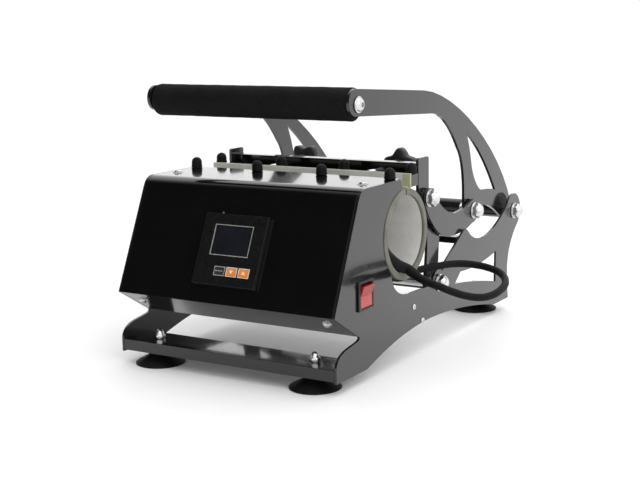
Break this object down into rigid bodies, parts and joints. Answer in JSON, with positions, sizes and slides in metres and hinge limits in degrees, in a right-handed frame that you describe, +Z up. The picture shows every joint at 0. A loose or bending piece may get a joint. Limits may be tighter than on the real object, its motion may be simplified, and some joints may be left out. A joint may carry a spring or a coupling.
{
  "type": "mug heat press",
  "caption": "Tumbler and mug heat press: sheet-metal cradle with a control box, wrap-round heater, over-centre lift handle with links, suction-cup feet and a looped heater lead.",
  "frame": {"origin": "on the table under the middle of the press: centre of its footprint box, without the free heater lead", "axes": "+Z up, +Y to the rear (hinge side), +X to the side with the rocker switch"},
  "size_m": [0.349, 0.431, 0.2754],
  "materials": {
    "black_paint": "gloss powder coat",
    "grey_paint": "gloss powder coat",
    "chrome": "bright zinc",
    "rubber": "matt",
    "grip_foam": "closed-cell foam",
    "heater_silicone": "satin, fabric-backed",
    "black_plastic": "satin",
    "display": "dark window",
    "dark_button": "satin",
    "orange_button": "satin",
    "red_rocker": "gloss",
    "circuit_board": "solder mask"
  },
  "bodies": {
    "root": {"right_side_plate": "black_paint", "left_side_plate": "black_paint", "front_foot_bar": "black_paint", "rear_foot_bar": "black_paint", "mid_cross_bar": "black_paint", "front_left_foot": "rubber", "front_right_foot": "rubber", "rear_left_foot": "rubber", "rear_right_foot": "rubber", "front_left_foot_nut": "chrome", "front_right_foot_nut": "chrome", "box_cover": "black_paint", "box_rear_baffle": "grey_paint", "controller_bezel": "black_plastic", "controller_display": "display", "controller_case": "black_plastic", "control_board": "circuit_board", "switch_housing": "black_plastic", "power_inlet": "black_plastic", "heater_front": "heater_silicone", "front_clamp_strip": "grey_paint", "front_clamp_cap_1": "rubber", "front_clamp_cap_2": "rubber", "front_clamp_cap_3": "rubber", "front_clamp_cap_4": "rubber", "heater_boot": "rubber", "heater_lead": "rubber", "lead_gland": "black_plastic", "handle_pivot_shaft": "chrome", "swing_pivot_shaft": "chrome"},
    "handle": {"right_handle_arm": "grey_paint", "left_handle_arm": "grey_paint", "grip_foam": "grip_foam", "grip_tube": "chrome", "right_grip_bolt": "chrome", "left_grip_bolt": "chrome", "handle_spacer_tube": "grey_paint", "right_link_bolt": "chrome", "left_link_bolt": "chrome"},
    "right_link": {"right_link": "grey_paint", "right_link_pin": "chrome"},
    "left_link": {"left_link": "grey_paint", "left_link_pin": "chrome"},
    "swing": {"right_swing_plate": "grey_paint", "left_swing_plate": "grey_paint", "swing_cross_bar": "black_paint", "right_swing_pin": "chrome", "left_swing_pin": "chrome"},
    "clamp": {"rear_clamp_bar": "black_paint", "heater_rear": "heater_silicone", "rear_clamp_cap_1": "rubber", "rear_clamp_cap_2": "rubber", "rear_clamp_cap_3": "rubber", "rear_clamp_cap_4": "rubber"},
    "left_knob": {"left_star_knob": "black_plastic"},
    "right_knob": {"right_star_knob": "black_plastic"},
    "rocker": {"switch_rocker": "red_rocker"},
    "set_button": {"set_button": "dark_button"},
    "left_button": {"left_button": "orange_button"},
    "right_button": {"right_button": "orange_button"}
  },
  "joints": [
    {"name": "handle_lift", "type": "hinge", "parent": "root", "child": "handle", "pos_m": [0, 0.1955, 0.113], "axis": [-1, 0, 0], "range_deg": [0, 40]},
    {"name": "right_link_turn", "type": "hinge", "parent": "handle", "child": "right_link", "pos_m": [0, 0.0945, 0.1275], "axis": [1, 0, 0], "range_deg": [0, 73]},
    {"name": "left_link_turn", "type": "hinge", "parent": "handle", "child": "left_link", "pos_m": [0, 0.0945, 0.1275], "axis": [1, 0, 0], "range_deg": [0, 73]},
    {"name": "clamp_swing", "type": "hinge", "parent": "root", "child": "swing", "pos_m": [0, -0.0005, 0.066], "axis": [-1, 0, 0], "range_deg": [0, 22.5]},
    {"name": "clamp_adjust", "type": "slide", "parent": "swing", "child": "clamp", "axis": [0, 1, 0], "range_m": [0, 0.006]},
    {"name": "left_knob_turn", "type": "hinge", "parent": "clamp", "child": "left_knob", "pos_m": [-0.06, 0.0415, 0.179], "axis": [0, 1, 0], "range_deg": [0, 1440]},
    {"name": "right_knob_turn", "type": "hinge", "parent": "clamp", "child": "right_knob", "pos_m": [0.06, 0.0415, 0.179], "axis": [0, 1, 0], "range_deg": [0, 1440]},
    {"name": "switch_rock", "type": "hinge", "parent": "root", "child": "rocker", "pos_m": [0.1244, -0.1555, 0.0845], "axis": [0, -1, 0], "range_deg": [0, 18]},
    {"name": "set_button_press", "type": "slide", "parent": "root", "child": "set_button", "axis": [0, 0.9091, -0.4167], "range_m": [0, 0.001], "stiffness_N_per_m": 300},
    {"name": "left_button_press", "type": "slide", "parent": "root", "child": "left_button", "axis": [0, 0.9091, -0.4167], "range_m": [0, 0.001], "stiffness_N_per_m": 300},
    {"name": "right_button_press", "type": "slide", "parent": "root", "child": "right_button", "axis": [0, 0.9091, -0.4167], "range_m": [0, 0.001], "stiffness_N_per_m": 300}
  ],
  "couplings": [
    {"joint": "right_link_turn", "follows": "handle_lift", "ratio": 1.825},
    {"joint": "left_link_turn", "follows": "handle_lift", "ratio": 1.825},
    {"joint": "clamp_swing", "follows": "handle_lift", "ratio": 0.5606},
    {"joint": "left_knob_turn", "follows": "clamp_adjust", "rad_per_m": 4188.8},
    {"joint": "right_knob_turn", "follows": "clamp_adjust", "rad_per_m": 4188.8}
  ]
}
